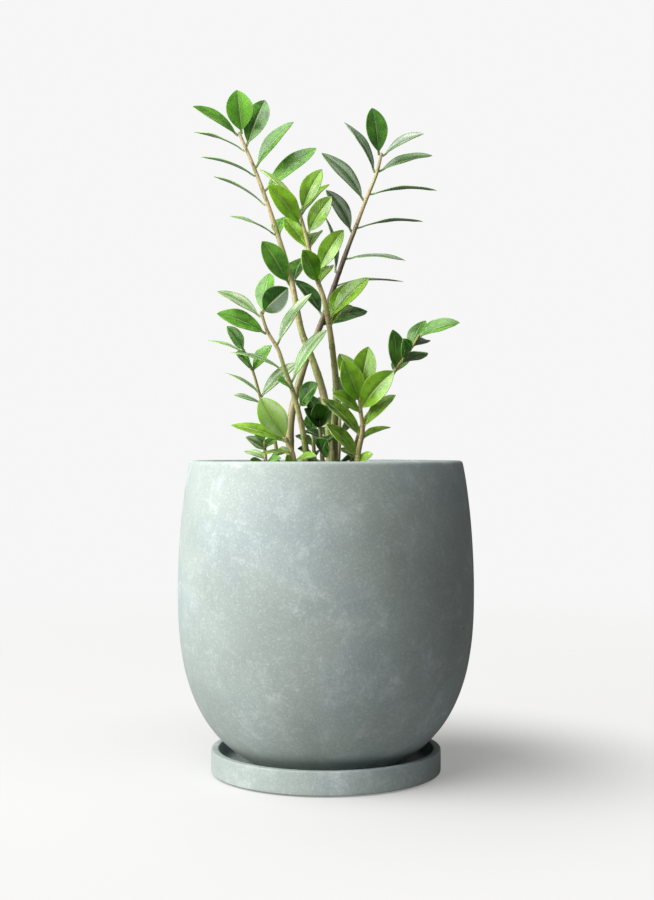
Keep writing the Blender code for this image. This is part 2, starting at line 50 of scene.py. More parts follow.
# The solids' own layout, in millimetres above the crown of the soil. A stem is the points of its
# centre line; a leaf is its height on the stem, where its tip lies from there (right, back, up),
# its width and its tilt. A leaf's letter in shades is its tone, a deep and j light, partly its own
# colour and partly painted light and shade, deeper where a leaf stands in shade; a capital adds a
# silvery bloom, partly a painted reflection. tan says how tan a stem is at its foot and tip, and
# brown how brown it is at its foot, middle and tip.
SHOOTS = {
    "left": {
        "stem": [(5, 4, 0), (4, 7, 35), (1, 8, 68), (-12, 12, 115), (-24, 14, 146),
                 (-34, 17, 195), (-51, 20, 253), (-71, 22, 310), (-88, 22, 350)],
        "radii": (4.6, 1.5),
        "separate": [
            (350, -46, -12, 25, 22, 55), (350, -2, -8, 42, 27, 8), (338, 20, 14, 50, 24, 6),
            (335, -53, 8, 19, 20, 84), (316, 40, -6, 45, 21, 45), (309, -56, -10, 16, 21, 86),
            (292, 54, 12, 46, 22, 35), (280, -54, 6, 28, 22, 86), (249, -47, -16, 15, 20, 78),
            (247, 6, 40, 26, 20, 40), (198, -29, -12, 40, 23, 12), (199, 12, 38, 30, 22, 35),
        ],
        "joined": [],
        "tone": "green",
        "shades": "fjdIdHgHHgec",
        "tan": (0.3, 0.9), "brown": (0.0, 0.05, 0.0),
    },
    "right": {
        "stem": [(-36, 34, 0), (-36, 40, 60), (-23, 50, 114), (-4, 58, 163), (14, 62, 215),
                 (29, 65, 256), (41, 66, 288), (53, 66, 318), (58, 66, 338)],
        "radii": (4.4, 1.5),
        "separate": [
            (338, -10, -6, 47, 23, 14), (338, 43, -14, 19, 20, 58), (322, 58, 12, 18, 21, 58),
            (320, -34, 6, 53, 23, 64), (290, -45, 10, 53, 25, 48), (257, -29, -8, 42, 24, 46),
            (298, 70, -8, 2, 22, 87), (263, 70, 8, 7, 22, 87), (230, 63, -10, -3, 22, 74),
            (215, -13, 14, 60, 23, 74), (170, -31, 20, 38, 22, 48),
        ],
        "joined": [(200, 72, 6, 6, 21, 80), (158, 50, 34, 20, 22, 40)],
        "tone": "dark",
        "shades": "gDIDDCIEHEcEc",
        "tan": (0.3, 1.0), "brown": (0.35, 1.0, 0.0),
    },
    "middle": {
        "stem": [(8, -24, 0), (8, -28, 49), (10, -34, 87), (8, -38, 112), (3, -44, 149),
                 (-3, -48, 178), (-11, -51, 199), (-19, -54, 234), (-26, -56, 259)],
        "radii": (4.2, 1.5),
        "separate": [
            (259, 22, -6, 38, 20, 25), (259, -38, 8, 42, 20, 68), (256, 28, 26, 33, 20, 55),
            (246, -32, -14, 35, 22, 22), (237, 25, -18, 32, 20, 22), (224, -23, 16, 30, 20, 30),
            (200, 28, -10, 39, 20, 22), (191, -14, -24, 27, 21, 30), (157, 39, -8, 38, 20, 40),
            (158, 25, 28, 37, 20, 40), (150, 20, 36, 23, 21, 35),
        ],
        "joined": [(222, 8, 36, 22, 20, 40), (189, 11, 34, 23, 20, 40)],
        "tone": "bright",
        "shades": "dJehdhefeecbd",
        "tan": (0.25, 0.95), "brown": (0.0, 0.0, 0.0),
    },
    "lower": {
        "stem": [(-15, -42, 0), (-26, -50, 63), (-32, -52, 85), (-40, -57, 107), (-46, -60, 125),
                 (-56, -62, 142), (-62, -64, 160)],
        "radii": (3.4, 1.4),
        "separate": [
            (160, 7, 22, 40, 20, 35), (160, 26, -26, 20, 24, 5), (158, -43, 8, 23, 20, 58),
            (142, -47, -10, 17, 21, 38), (130, 34, -6, 48, 21, 60), (95, 36, -8, 49, 22, 58),
            (108, -51, 8, 16, 21, 77), (71, 20, -30, 20, 21, 40),
        ],
        "joined": [(86, -13, -34, 8, 14, 70)],
        "tone": "green",
        "shades": "eaFfEHIbh",
        "tan": (0.25, 0.7), "brown": (0.0, 0.0, 0.0),
    },
    "front": {
        "stem": [(30, -57, 0), (31, -60, 26), (35, -64, 50), (33, -67, 66), (32, -70, 83)],
        "radii": (3.2, 1.5),
        "separate": [],
        "joined": [
            (82, -19, 10, 39, 20, 25), (83, 8, -9, 43, 23, 8), (68, 30, -26, 34, 24, 20),
            (64, -26, -20, 18, 20, 55), (41, -37, 10, 37, 19, 50), (23, -30, -6, 30, 18, 45),
            (50, 30, -12, 31, 18, 55), (39, 29, 20, 12, 16, 70), (70, -6, 34, 46, 20, 50),
            (20, -16, 14, 11, 14, 50), (15, 14, -10, 10, 13, 60), (74, -16, -15, 39, 22, 10),
        ],
        "tone": "bright",
        "shades": "ceedcceecdfg",
        "tan": (0.75, 0.4), "brown": (0.15, 0.1, 0.0),
    },
    "curved": {
        "stem": [(22, -20, 0), (30, -24, 36), (39, -27, 60), (46, -29, 69), (56, -32, 84),
                 (68, -36, 107), (80, -40, 123), (90, -44, 139)],
        "radii": (2.4, 1.2),
        "separate": [],
        "joined": [
            (107, -3, -8, 38, 19, 32), (139, 38, -10, 13, 18, 50), (137, 33, 14, 20, 18, 60),
            (125, 16, 22, 32, 18, 45), (119, -3, -30, 15, 16, 40), (104, 14, 30, 17, 17, 40),
            (130, 16, 34, 9, 17, 40), (114, 25, -16, 8, 16, 120),
        ],
        "tone": "green",
        "shades": "deedfdhG",
        "tan": (0.5, 0.5), "brown": (0.45, 0.3, 0.1),
    },
    "pale": {
        "stem": [(-47, -8, 0), (-51, -10, 38), (-65, -14, 81), (-73, -18, 108), (-81, -20, 127)],
        "radii": (2.2, 1.1),
        "separate": [],
        "joined": [
            (127, -16, -14, 22, 16, 40), (124, -37, 8, 14, 16, 80), (108, -14, -24, 15, 16, 60),
            (107, 19, -12, 24, 17, 45), (86, -34, 10, 20, 17, 80), (74, -27, -18, 8, 16, 75),
            (81, 37, -16, 33, 18, 50),
        ],
        "tone": "green",
        "shades": "HIGhIHE",
        "tan": (0.3, 0.3), "brown": (0.0, 0.0, 0.0),
    },
    "sprout": {
        "stem": [(-60, -30, 0), (-59, -33, 19), (-60, -36, 35)],
        "radii": (2.0, 1.4),
        "separate": [],
        "joined": [(29, -18, -10, 12, 12, 45), (20, -21, 10, 8, 12, 60), (35, -10, 4, 14, 11, 40),
                   (31, 11, 12, 9, 11, 45), (12, -14, -12, 7, 11, 60), (14, 15, -9, 7, 13, 60)],
        "tone": "green",
        "shades": "FGeedf",
        "tan": (0.9, 0.8), "brown": (0.1, 0.0, 0.0),
    },
    # Deep shades here are partly painted shade under the taller shoots.
    "centre": {
        "stem": [(-2, -42, 0), (-5, -44, 40), (-7, -45, 60)],
        "radii": (2.4, 1.5),
        "separate": [],
        "joined": [(60, -11, 6, 22, 16, 30), (50, -14, -18, 18, 15, 50), (50, 12, -8, 22, 15, 40),
                   (24, 4, -30, 14, 20, 40), (57, -2, -18, 16, 17, 20), (34, 13, -15, 8, 12, 70),
                   (16, -19, -21, 6, 15, 75), (40, -15, 8, 8, 15, 60), (30, 12, 10, 14, 14, 60),
                   (10, 16, -16, 6, 14, 70)],
        "tone": "dark",
        "shades": "cbdbhcebab",
        "tan": (0.5, 0.4), "brown": (0.6, 0.5, 0.3),
    },
    # Deep shades here are partly painted shade under the taller shoots.
    "back": {
        "stem": [(10, 26, 0), (13, 34, 30), (14, 44, 56), (14, 52, 76)],
        "radii": (2.8, 1.5),
        "separate": [],
        "joined": [(76, 3, 16, 30, 18, 150), (66, -24, 20, 16, 17, 120), (70, 18, 26, 14, 17, 130),
                   (50, -26, 8, 18, 17, 110), (46, 16, 26, 14, 17, 120), (30, -18, 30, 10, 16, 120),
                   (22, -20, -8, 10, 15, 100), (14, 18, 10, 8, 15, 110), (38, -22, -4, 12, 16, 60)],
        "tone": "dark",
        "shades": "edfedcdcd",
        "tan": (0.5, 0.5), "brown": (0.3, 0.2, 0.1),
    },
    # Deep shades here are partly painted shade under the taller shoots.
    "tuft": {
        "stem": [(-10, -16, 0), (-12, -18, 30), (-13, -18, 46)],
        "radii": (2.4, 1.5),
        "separate": [],
        "joined": [(46, 0, -6, 20, 15, 30), (45, -12, 8, 14, 14, 60), (34, 9, -8, 12, 14, 50),
                   (33, -18, 4, 10, 15, 60), (22, -16, -8, 8, 15, 70), (21, 6, 12, 9, 12, 70),
                   (12, -14, 12, 7, 14, 70), (10, 0, -14, 6, 12, 70)],
        "tone": "dark",
        "shades": "dcbcbbba",
        "tan": (0.4, 0.4), "brown": (0.5, 0.4, 0.3),
    },
    "bright": {
        "stem": [(-29, -59, 0), (-33, -64, 29), (-38, -68, 39)],
        "radii": (2.8, 1.7),
        "separate": [],
        "joined": [(39, -24, -6, 39, 26, 8), (36, -54, 4, 17, 18, 55), (26, -30, -14, -1, 16, 80),
                   (18, 21, -12, 5, 15, 70), (27, -20, 12, -3, 13, 60), (14, -8, -24, 4, 14, 60)],
        "tone": "bright",
        "shades": "Jfeedd",
        "tan": (0.9, 0.6), "brown": (0.1, 0.0, 0.0),
    },
}
TALL_SHOOTS = ("left", "right", "middle", "lower")

# Leaves and stems, with lengths in millimetres
GAP = 0.3                    # between a leaf and its stem
STEM_FLARE = 0.25            # share by which a stem is thicker where it leaves the soil
STEM_BURIED = 12             # depth that a finished stem reaches into the soil
STALK_SHARE = 0.05           # part of a leaf's length that is its short stalk
STALK_RADIUS = 0.9
WIDEST_SHARE = 0.85 / 1.63   # where a blade is widest, along its length
LEAF_ARCH = 0.05             # rise of a leaf's middle over its ends, as a share of its length
LEAF_FOLD = 0.22             # rise of its rims over the midrib, as a share of its half width
EDGE_ON_TILT = 72            # degrees from which a leaf is seen along its edge
LEAF_ROWS, LEAF_COLUMNS = 36, 16
BLADE_THICKNESS = 0.75
STALK_THICKNESS = 1.7
SILVERY_BLOOM_AND_SHEEN = 0.7          # strength of a silvery leaf's bloom, partly a painted reflection
STEM_RINGS, STEM_SIDES = 240, 20

# Soil and pot, with lengths in metres
SOIL_RADIUS = 0.1264
SOIL_CROWN = 0.004           # how far the soil's middle stands above its edge
CRUMB_SPREAD = 0.116         # radius of the disc that crumbs and grit lie on
POT_UNEVENNESS = 0.00025
SAUCER_UNEVENNESS = 0.00012

# Studio, with lengths in metres
FLOOR_SIZE = 12
FLOOR_NEAR, FLOOR_FAR = 0.2, 0.44    # distances between which the floor turns from lamp-lit to its painted glow
CAMERA_PLACE = (0.001, -1.42, 0.320)
CAMERA_LENS = 56.8           # millimetres on a sensor 36 wide
LAMPS = (                    # name, place, watts, size and what it points at
    ("key", (-1.4, -0.95, 2.5), 162.0, 3.0, (0, 0, 0.25)),
    ("side", (-2.2, -0.7, 0.8), 72.0, 2.2, (0, 0, 0.15)))


# ---------------------------------------------------------------- helpers

def deselect():
    bpy.ops.object.select_all(action="DESELECT")


def make_active(obj):
    deselect()
    obj.select_set(True)
    bpy.context.view_layer.objects.active = obj


def edit_all(obj, *operations):
    """Edit-mode operations on the whole of an object."""
    make_active(obj)
    bpy.ops.object.mode_set(mode="EDIT")
    bpy.ops.mesh.select_all(action="SELECT")
    for operation in operations:
        operation()
    bpy.ops.object.mode_set(mode="OBJECT")


def merge_points():
    bpy.ops.mesh.remove_doubles(threshold=1e-5)


def face_outwards():
    bpy.ops.mesh.normals_make_consistent(inside=False)


def to_quads():
    bpy.ops.mesh.tris_convert_to_quads(face_threshold=math.radians(40),
                                       shape_threshold=math.radians(60))


def copy_of(source, name):
    piece = source.copy()
    piece.data = source.data.copy()
    piece.name = name
    bpy.context.scene.collection.objects.link(piece)
    return piece


def apply_modifier(obj, kind, **settings):
    make_active(obj)
    modifier = obj.modifiers.new(kind.title(), kind)
    for key, value in settings.items():
        setattr(modifier, key, value)
    bpy.ops.object.modifier_apply(modifier=modifier.name)


def shade(obj, angle):
    obj.data.shade_smooth()
    obj.data.set_sharp_from_angle(angle=math.radians(angle))


def join(pieces, name):
    deselect()
    for piece in pieces:
        piece.select_set(True)
    bpy.context.view_layer.objects.active = pieces[0]
    bpy.ops.object.join()
    pieces[0].name = name
    return pieces[0]


def finish_piece(piece, material, replaced=()):
    """Gives a finished piece its material in a slot, sets it on the root body and hides the solids it
    stands for.
    """
    piece.data.materials.clear()
    piece.data.materials.append(material)
    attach(piece, "root")
    if replaced:
        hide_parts(*replaced)


def numbers_of(items, key, width=3):
    values = np.empty(len(items) * width)
    items.foreach_get(key, values)
    return values.reshape(-1, width)


def move_points(mesh, coords):
    mesh.vertices.foreach_set("co", np.asarray(coords, dtype=np.float64).ravel())
    mesh.update()


def add_values(mesh, name, domain, values):
    mesh.attributes.new(name, "FLOAT", domain).data.foreach_set("value", values)


# ---------------------------------------------------------------- shader building

def add(tree, kind, inputs=None, **settings):
    """A node with its settings and inputs; an input is a value or another node's output."""
    node = tree.nodes.new("ShaderNode" + kind)
    for key, value in settings.items():
        setattr(node, key, value)
    for key, value in (inputs or {}).items():
        if isinstance(value, bpy.types.NodeSocket):
            tree.links.new(value, node.inputs[key])
        else:
            node.inputs[key].default_value = value
    return node


def math_node(tree, operation, a, b=0.0, clamp=False):
    return add(tree, "Math", {0: a, 1: b}, operation=operation, use_clamp=clamp).outputs[0]


def ramp(tree, value, low, high, to_low=0.0, to_high=1.0):
    """A smooth step from one value to another as the input goes from low to high."""
    if low > high:
        low, high, to_low, to_high = high, low, to_high, to_low
    step = add(tree, "MapRange", {"Value": value, "From Min": low, "From Max": high,
                                  "To Min": to_low, "To Max": to_high},
               interpolation_type="SMOOTHSTEP")
    return step.outputs["Result"]


def mix_colour(tree, factor, a, b):
    mix = add(tree, "Mix", data_type="RGBA")
    for index, value in ((0, factor), (6, a), (7, b)):
        if isinstance(value, bpy.types.NodeSocket):
            tree.links.new(value, mix.inputs[index])
        elif index:
            mix.inputs[index].default_value = (*value, 1.0)
        else:
            mix.inputs[index].default_value = value
    return mix.outputs[2]


def noise_texture(tree, vector, scale, detail=4.0, roughness=0.55, distortion=0.0):
    texture = add(tree, "TexNoise", {"Vector": vector, "Scale": scale, "Detail": detail,
                                     "Roughness": roughness, "Distortion": distortion})
    return texture.outputs["Fac"]


def attribute(tree, name):
    return add(tree, "Attribute", attribute_name=name).outputs["Fac"]


def new_group(name, inputs, outputs):
    tree = bpy.data.node_groups.new(name, "ShaderNodeTree")
    for socket_name, kind in inputs:
        tree.interface.new_socket(socket_name, in_out="INPUT", socket_type="NodeSocket" + kind)
    for socket_name, kind in outputs:
        tree.interface.new_socket(socket_name, in_out="OUTPUT", socket_type="NodeSocket" + kind)
    return tree, tree.nodes.new("NodeGroupInput"), tree.nodes.new("NodeGroupOutput")


def place_group(tree, group, inputs):
    return add(tree, "Group", inputs, node_tree=group)


def new_material(name, **plain):
    """A material with its Principled shader; plain holds values set on the shader itself."""
    material = bpy.data.materials.new(name)
    material.use_nodes = True
    tree = material.node_tree
    shader = tree.nodes["Principled BSDF"]
    for key, value in plain.items():
        shader.inputs[key.replace("_", " ")].default_value = value
    return material, tree, shader


def add_bump(tree, shader, height, strength, distance):
    bump = add(tree, "Bump", {"Strength": strength, "Distance": distance, "Height": height})
    tree.links.new(bump.outputs["Normal"], shader.inputs["Normal"])


# ---------------------------------------------------------------- shared effects

def cement_group():
    """Cast cement: cloudy bloom, brushed smears, fine grain, pale specks and pinholes darkened with
    painted shade.
    """
    tree, inp, out = new_group(
        "cast_cement",
        [("Vector", "Vector"), ("Body", "Color"), ("Bloom", "Color"), ("Cool", "Color")],
        [("Color", "Color"), ("Roughness", "Float"), ("Height", "Float")])
    vector = inp.outputs["Vector"]
    clouds = noise_texture(tree, vector, 34.0, 8.0, 0.72, 0.6)
    patches = noise_texture(tree, vector, 7.0, 3.0, 0.5, 0.7)
    cool = noise_texture(tree, vector, 8.0, 4.0, 0.6, 0.3)
    smears = noise_texture(tree, vector, 135.0, 7.0, 0.74, 0.9)
    flecks = noise_texture(tree, vector, 480.0, 3.0, 0.6)
    grain = noise_texture(tree, vector, 900.0, 3.0, 0.7)
    bloom = math_node(tree, "MULTIPLY", ramp(tree, clouds, 0.46, 0.74),
                      ramp(tree, patches, 0.35, 0.62, 0.15, 0.5))
    wisps = math_node(tree, "MULTIPLY", ramp(tree, smears, 0.46, 0.7),
                      ramp(tree, clouds, 0.42, 0.62, 0.14, 0.42))
    flecks = math_node(tree, "MULTIPLY", ramp(tree, flecks, 0.52, 0.7), 0.4)
    bloom = math_node(tree, "ADD", bloom, math_node(tree, "ADD", wisps, flecks), clamp=True)
    colour = mix_colour(tree, ramp(tree, cool, 0.46, 0.68, 0.0, 0.7), inp.outputs["Body"],
                        inp.outputs["Cool"])
    colour = mix_colour(tree, bloom, colour, inp.outputs["Bloom"])
    shadowy = ramp(tree, patches, 0.3, 0.6, 0.86, 1.02)
    speckle = ramp(tree, grain, 0.3, 0.7, 0.93, 1.06)
    value = math_node(tree, "MULTIPLY", shadowy, speckle)

    # Pinholes: dents in the bump, their colour darkened as painted shade.
    holes = add(tree, "TexVoronoi", {"Vector": vector, "Scale": 30.0})
    wanted = add(tree, "SeparateColor", {"Color": holes.outputs["Color"]}).outputs["Red"]
    hole = math_node(tree, "MULTIPLY", ramp(tree, holes.outputs["Distance"], 0.045, 0.02),
                     math_node(tree, "GREATER_THAN", wanted, 0.9))
    value = math_node(tree, "MULTIPLY", value, ramp(tree, hole, 0.0, 1.0, 1.0, 0.4))
    shaded = add(tree, "HueSaturation", {"Color": colour, "Value": value})
    tree.links.new(shaded.outputs["Color"], out.inputs["Color"])

    rough = math_node(tree, "ADD", ramp(tree, bloom, 0.0, 1.0, 0.6, 0.78),
                      ramp(tree, grain, 0.3, 0.7, -0.06, 0.08))
    tree.links.new(rough, out.inputs["Roughness"])
    height = math_node(tree, "ADD", math_node(tree, "MULTIPLY", grain, 0.35),
                       math_node(tree, "MULTIPLY", smears, 0.5))
    height = math_node(tree, "SUBTRACT", height, math_node(tree, "MULTIPLY", hole, 1.5))
    tree.links.new(height, out.inputs["Height"])
    return tree


def leaf_group():
    """A leaf's midrib, side veins and margin from its own UV map: u along, v across, and the painted
    shade of its crease.
    """
    tree, inp, out = new_group(
        "leaf_veins", [("UV", "Vector")],
        [("Midrib", "Float"), ("Veins", "Float"), ("Margin", "Float"), ("Along", "Float"),
         ("Halves", "Float"), ("Crease_Shade", "Float"), ("Height", "Float")])
    parts = add(tree, "SeparateXYZ", {"Vector": inp.outputs["UV"]})
    along = parts.outputs["X"]
    offset = math_node(tree, "SUBTRACT", math_node(tree, "MULTIPLY", parts.outputs["Y"], 2.0), 1.0)
    across = math_node(tree, "ABSOLUTE", offset)
    midrib = math_node(tree, "MULTIPLY", ramp(tree, across, 0.13, 0.03),
                       ramp(tree, along, 1.0, 0.75))
    phase = math_node(tree, "ADD", math_node(tree, "MULTIPLY", along, 13.0),
                      math_node(tree, "MULTIPLY", across, -3.4))
    wave = math_node(tree, "ABSOLUTE", math_node(tree, "SUBTRACT",
                                                 math_node(tree, "FRACT", phase), 0.5))
    veins = math_node(tree, "MULTIPLY", ramp(tree, wave, 0.13, 0.0), ramp(tree, across, 0.95, 0.5))
    margin = ramp(tree, across, 0.9, 1.0)
    halves = math_node(tree, "MULTIPLY", ramp(tree, across, 0.1, 0.34),
                       ramp(tree, across, 1.0, 0.78))
    # Painted shade: the leaf is darker towards its midrib's crease and a little lighter at its rims.
    crease_shade = ramp(tree, across, 0.12, 0.6, 0.8, 1.06)
    groove = math_node(tree, "MULTIPLY", ramp(tree, wave, 0.25, 0.0), -0.3)
    height = math_node(tree, "SUBTRACT", groove, midrib)
    for name, value in (("Midrib", midrib), ("Veins", veins), ("Margin", margin),
                        ("Along", along), ("Halves", halves), ("Crease_Shade", crease_shade),
                        ("Height", height)):
        tree.links.new(value, out.inputs[name])
    return tree


# ---------------------------------------------------------------- materials

def cement_material(group):
    material, tree, shader = new_material("cement", Specular_IOR_Level=0.35)
    cement = place_group(tree, group, {
        "Vector": add(tree, "TexCoord").outputs["Object"], "Body": (0.305, 0.352, 0.325, 1.0),
        "Bloom": (0.50, 0.55, 0.54, 1.0), "Cool": (0.275, 0.335, 0.34, 1.0)})
    tree.links.new(cement.outputs["Color"], shader.inputs["Base Color"])
    tree.links.new(cement.outputs["Roughness"], shader.inputs["Roughness"])
    add_bump(tree, shader, cement.outputs["Height"], 0.4, 0.0009)
    return material


def leaf_material(name, group, coat, deep, light, underside, rib, silver_bloom_and_sheen):
    """Waxy leaf. Attributes: tone goes from deep to light, partly painted light and shade; bloom
    silvers, partly a painted reflection; underside is its back.
    """
    material, tree, shader = new_material(name, Specular_IOR_Level=0.35, Coat_Weight=coat,
                                          Coat_Roughness=0.06, Subsurface_Weight=0.35,
                                          Subsurface_Radius=(0.6, 1.0, 0.15),
                                          Subsurface_Scale=0.003)
    coords = add(tree, "TexCoord")
    veins = place_group(tree, group, {"UV": coords.outputs["UV"]})
    below = attribute(tree, "underside")
    blotch = noise_texture(tree, coords.outputs["Object"], 90.0, 3.0, 0.55, 0.4)
    fleck = noise_texture(tree, coords.outputs["Object"], 1100.0, 2.0, 0.6)
    shift = math_node(tree, "ADD", attribute(tree, "tone"), ramp(tree, blotch, 0.3, 0.7, -0.2, 0.2),
                      clamp=True)
    colour = mix_colour(tree, shift, deep, light)
    along_leaf = add(tree, "VectorMath", {0: coords.outputs["UV"], 1: (2.2, 4.5, 1.0)},
                     operation="MULTIPLY").outputs["Vector"]
    own_place = add(tree, "VectorMath", {0: coords.outputs["Object"], 1: (12.0, 12.0, 12.0),
                                         2: along_leaf}, operation="MULTIPLY_ADD").outputs["Vector"]
    # Silvery bloom in streaks of sheen over the leaf's halves: partly its waxy bloom, partly a painted
    # reflection of the bright room.
    sheen = ramp(tree, noise_texture(tree, own_place, 1.0, 2.0, 0.45, 0.3), 0.38, 0.6, 0.35, 1.0)
    bloom = math_node(tree, "MULTIPLY", attribute(tree, "bloom"), sheen)
    bloom = math_node(tree, "MULTIPLY", bloom, veins.outputs["Halves"])
    colour = mix_colour(tree, bloom, colour, silver_bloom_and_sheen)
    for part, strength in (("Veins", 0.14), ("Margin", 0.45)):
        mask = math_node(tree, "MULTIPLY", veins.outputs[part], strength)
        colour = mix_colour(tree, mask, colour, rib)
    stalk = ramp(tree, veins.outputs["Along"], 0.14, 0.03)
    rib_mask = math_node(tree, "MAXIMUM", math_node(tree, "MULTIPLY", veins.outputs["Midrib"], 0.8),
                         math_node(tree, "MULTIPLY", stalk, 0.7))
    colour = mix_colour(tree, rib_mask, colour, rib)
    colour = mix_colour(tree, math_node(tree, "MULTIPLY", below, 0.75), colour, underside)
    # Fine flecks, times the painted shade of the crease.
    value = math_node(tree, "MULTIPLY", ramp(tree, fleck, 0.3, 0.7, 0.94, 1.06),
                      veins.outputs["Crease_Shade"])
    shaded = add(tree, "HueSaturation", {"Color": colour, "Value": value})
    tree.links.new(shaded.outputs["Color"], shader.inputs["Base Color"])
    rough = math_node(tree, "ADD", ramp(tree, blotch, 0.3, 0.7, 0.24, 0.36),
                      math_node(tree, "MULTIPLY", below, 0.18))
    tree.links.new(rough, shader.inputs["Roughness"])
    height = math_node(tree, "ADD", veins.outputs["Height"],
                       math_node(tree, "MULTIPLY", blotch, 0.8))
    add_bump(tree, shader, height, 0.35, 0.0006)
    return material


def stem_material():
    """Stem. Attributes tan and brown set its own colours, ring marks its old leaf joints."""
    material, tree, shader = new_material("stem", Specular_IOR_Level=0.45)
    coords = add(tree, "TexCoord").outputs["Object"]
    lengthwise = add(tree, "Mapping", {"Vector": coords, "Scale": (1.0, 1.0, 0.3)}).outputs[0]
    streak = noise_texture(tree, lengthwise, 260.0, 4.0, 0.6)
    flecks = noise_texture(tree, lengthwise, 420.0, 4.0, 0.6)
    patch = noise_texture(tree, coords, 45.0, 3.0, 0.5)
    shift = math_node(tree, "ADD", attribute(tree, "tan"), ramp(tree, patch, 0.35, 0.65, -0.3, 0.3),
                      clamp=True)
    colour = mix_colour(tree, shift, (0.25, 0.32, 0.08), (0.55, 0.43, 0.22))
    colour = mix_colour(tree, ramp(tree, streak, 0.5, 0.75, 0.0, 0.45), colour, (0.19, 0.22, 0.07))
    colour = mix_colour(tree, attribute(tree, "brown"), colour, (0.10, 0.075, 0.05))
    colour = mix_colour(tree, ramp(tree, flecks, 0.56, 0.66, 0.0, 0.8), colour, (0.15, 0.085, 0.04))
    colour = mix_colour(tree, math_node(tree, "MULTIPLY", attribute(tree, "ring"), 0.5), colour,
                        (0.20, 0.13, 0.07))
    tree.links.new(colour, shader.inputs["Base Color"])
    tree.links.new(ramp(tree, patch, 0.3, 0.7, 0.36, 0.52), shader.inputs["Roughness"])
    add_bump(tree, shader, streak, 0.4, 0.0004)
    return material


def soil_material(name, dark, light):
    material, tree, shader = new_material(name, Specular_IOR_Level=0.25)
    coords = add(tree, "TexCoord").outputs["Object"]
    lumps = noise_texture(tree, coords, 180.0, 5.0, 0.65)
    fibres = noise_texture(tree, coords, 900.0, 3.0, 0.7, 1.2)
    colour = mix_colour(tree, ramp(tree, lumps, 0.35, 0.7), dark, light)
    colour = mix_colour(tree, ramp(tree, fibres, 0.58, 0.7, 0.0, 0.5), colour,
                        tuple(min(1.0, 2.2 * c) for c in light))
    tree.links.new(colour, shader.inputs["Base Color"])
    tree.links.new(ramp(tree, lumps, 0.3, 0.7, 0.8, 0.98), shader.inputs["Roughness"])
    add_bump(tree, shader, fibres, 0.8, 0.0012)
    return material


def pad_material():
    material, tree, shader = new_material("pad_rubber", Specular_IOR_Level=0.3)
    coords = add(tree, "TexCoord").outputs["Object"]
    grain = noise_texture(tree, coords, 700.0, 3.0, 0.6)
    dust = noise_texture(tree, coords, 160.0, 3.0, 0.5)
    colour = mix_colour(tree, ramp(tree, dust, 0.5, 0.75, 0.0, 0.4), (0.018, 0.018, 0.018),
                        (0.09, 0.085, 0.08))
    tree.links.new(colour, shader.inputs["Base Color"])
    tree.links.new(ramp(tree, grain, 0.3, 0.7, 0.6, 0.85), shader.inputs["Roughness"])
    add_bump(tree, shader, grain, 0.4, 0.0003)
    return material


# ---------------------------------------------------------------- the plant's layout

def stem_centre(shoot, height):
    """Point of a stem's centre line at a height above the soil, in millimetres."""
    points = np.array(shoot["stem"], dtype=float)
    heights = points[:, 2]
    slopes = np.gradient(points[:, :2], heights, axis=0)
    if height <= heights[0]:
        right, back = points[0, :2] + slopes[0] * (height - heights[0]) * 0.3
        return Vector((right, back, height))
    i = min(int(np.searchsorted(heights, height)) - 1, len(heights) - 2)
    span = heights[i + 1] - heights[i]
    s = (height - heights[i]) / span
    place = ((2 * s**3 - 3 * s**2 + 1) * points[i, :2] + (s**3 - 2 * s**2 + s) * span * slopes[i]
             + (3 * s**2 - 2 * s**3) * points[i + 1, :2] + (s**3 - s**2) * span * slopes[i + 1])
    return Vector((place[0], place[1], height))


def stem_direction(shoot, height):
    return (stem_centre(shoot, height + 1) - stem_centre(shoot, height - 1)).normalized()


def stem_radius(shoot, height):
    base, tip = shoot["radii"]
    share = min(max(height / shoot["stem"][-1][2], 0), 1)
    return (base + (tip - base) * share) * (1 + STEM_FLARE * math.exp(-max(height, 0) / 12))


def to_frame(points):
    """From millimetres above the soil to the part's own frame."""
    return np.asarray(points) * MM + (0, 0, SOIL_TOP)


def leaf_frame(root, tip, tilt):
    """Directions along a leaf, across it, and out of its upper face."""
    along = (tip - root).normalized()
    front = Vector((0, -1, 0))
    front = (front - along * front.dot(along)).normalized()
    over_stem = along.cross(front) if along.x < 0 else front.cross(along)
    tilt = math.radians(tilt)
    face = front * math.cos(tilt) + over_stem * math.sin(tilt)
    return np.array(along), np.array(along.cross(face)), np.array(face)


def blade_share(s):
    """Half width of a blade at a share of its length, as a share of its widest."""
    return (s / WIDEST_SHARE) ** 0.85 * ((1 - s) / (1 - WIDEST_SHARE)) ** 0.78


# ---------------------------------------------------------------- leaves

def leaf_master():
    """A flat grid with a UV map, u along the leaf and v across it."""
    deselect()
    bpy.ops.mesh.primitive_grid_add(x_subdivisions=LEAF_ROWS, y_subdivisions=LEAF_COLUMNS, size=2)
    master = bpy.context.object
    master.name = "leaf_master"
    return master


